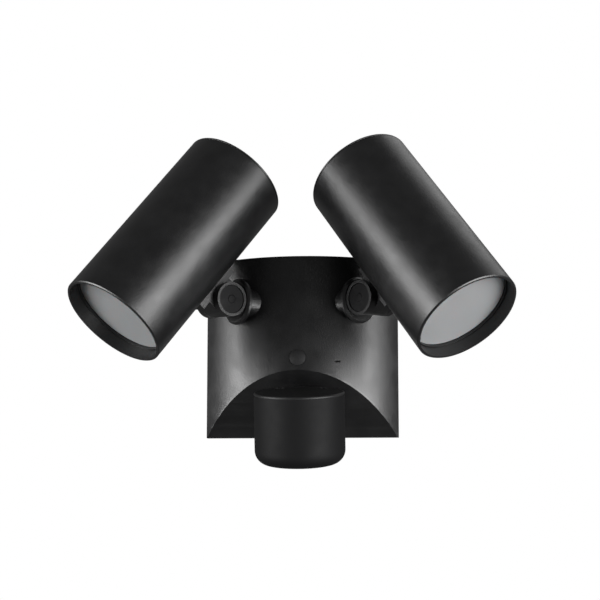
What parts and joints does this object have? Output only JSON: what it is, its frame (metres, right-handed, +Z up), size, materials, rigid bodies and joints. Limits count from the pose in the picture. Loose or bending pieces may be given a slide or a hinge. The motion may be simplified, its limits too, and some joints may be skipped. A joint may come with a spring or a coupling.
{
  "type": "motion-sensing floodlight",
  "caption": "Wall-mounted floodlight with swivelling cylinder lamps over a curved canopy and a motion sensor drum below.",
  "frame": {"origin": "centre of the crossbar's two slots, on the wall plane", "axes": "+X to the object's own left as seen from behind (right as seen from the front), +Z up, -Y out from the wall"},
  "size_m": [0.276, 0.13, 0.2124],
  "materials": {
    "black_coat": "satin",
    "foam": "matte",
    "zinc_steel": "satin",
    "green_steel": "satin",
    "black_rubber": "matte",
    "driver_case": "matte",
    "black_plastic": "satin",
    "black_screw": "satin",
    "bare_aluminium": "satin",
    "white_board": "satin",
    "phosphor": "satin",
    "white_plastic": "satin",
    "frosted": "satin",
    "sensor_plastic": "satin",
    "sensor_window": "satin",
    "green_board": "satin",
    "dial_plastic": "satin"
  },
  "bodies": {
    "canopy": {"housing": "black_coat", "wall_gasket": "foam", "crossbar": "zinc_steel", "ground_screw": "green_steel", "centre_bolt": "zinc_steel", "bolt_plug": "black_rubber", "led_driver": "driver_case", "driver_screws": "zinc_steel", "left_stem_seal": "black_rubber", "right_stem_seal": "black_rubber"},
    "left_knuckle": {"left_knuckle_base": "black_coat", "left_lock_nut": "zinc_steel", "left_pivot_bolt": "zinc_steel", "left_pivot_nut": "zinc_steel", "left_pivot_cap": "black_plastic"},
    "left_lamp": {"left_arm": "black_coat", "left_arm_screws": "zinc_steel", "left_tube": "black_coat", "left_back_cap": "black_coat", "left_cap_seal": "black_rubber", "left_cap_screws": "black_screw", "left_heat_sink": "bare_aluminium", "left_led_board": "white_board", "left_led_chips": "phosphor", "left_reflector": "white_plastic", "left_diffuser": "frosted", "left_diffuser_gasket": "black_rubber"},
    "right_knuckle": {"right_knuckle_base": "black_coat", "right_lock_nut": "zinc_steel", "right_pivot_bolt": "zinc_steel", "right_pivot_nut": "zinc_steel", "right_pivot_cap": "black_plastic"},
    "right_lamp": {"right_arm": "black_coat", "right_arm_screws": "zinc_steel", "right_tube": "black_coat", "right_back_cap": "black_coat", "right_cap_seal": "black_rubber", "right_cap_screws": "black_screw", "right_heat_sink": "bare_aluminium", "right_led_board": "white_board", "right_led_chips": "phosphor", "right_reflector": "white_plastic", "right_diffuser": "frosted", "right_diffuser_gasket": "black_rubber"},
    "sensor_knuckle": {"sensor_swivel": "sensor_plastic", "sensor_swivel_nut": "zinc_steel", "sensor_pivot_screw": "zinc_steel"},
    "sensor": {"sensor_cover": "sensor_plastic", "sensor_lens": "sensor_window", "sensor_seal": "black_rubber", "sensor_screws": "black_screw", "sensor_board": "green_board", "pir_element": "zinc_steel"},
    "time_dial": {"time_dial": "dial_plastic"},
    "sensitivity_dial": {"sensitivity_dial": "dial_plastic"}
  },
  "joints": [
    {"name": "left_swivel", "type": "hinge", "parent": "canopy", "child": "left_knuckle", "pos_m": [-0.0379, -0.03632, 0.0368], "axis": [0.7431, 0.6691, 0], "range_deg": [-12, 12]},
    {"name": "left_tilt", "type": "hinge", "parent": "left_knuckle", "child": "left_lamp", "pos_m": [-0.04905, -0.04635, 0.0368], "axis": [0.6685, -0.7424, -0.0436], "range_deg": [-7, 45]},
    {"name": "right_swivel", "type": "hinge", "parent": "canopy", "child": "right_knuckle", "pos_m": [0.0379, -0.03632, 0.0368], "axis": [0.7431, -0.6691, 0], "range_deg": [-12, 12]},
    {"name": "right_tilt", "type": "hinge", "parent": "right_knuckle", "child": "right_lamp", "pos_m": [0.04905, -0.04635, 0.0368], "axis": [0.6685, 0.7424, 0.0436], "range_deg": [-7, 45]},
    {"name": "sensor_pan", "type": "hinge", "parent": "canopy", "child": "sensor_knuckle", "pos_m": [0, -0.01834, -0.03716], "axis": [0, -0.8027, -0.5963], "range_deg": [-30, 30]},
    {"name": "sensor_tilt", "type": "hinge", "parent": "sensor_knuckle", "child": "sensor", "pos_m": [0, -0.02476, -0.04193], "axis": [1, 0, 0], "range_deg": [-4, 25]},
    {"name": "time_dial_turn", "type": "hinge", "parent": "sensor", "child": "time_dial", "pos_m": [-0.00525, -0.05495, -0.06847], "axis": [0, 0.1908, -0.9816], "range_deg": [-135, 135]},
    {"name": "sensitivity_dial_turn", "type": "hinge", "parent": "sensor", "child": "sensitivity_dial", "pos_m": [0.01175, -0.05495, -0.06847], "axis": [0, 0.1908, -0.9816], "range_deg": [-135, 135]}
  ]
}
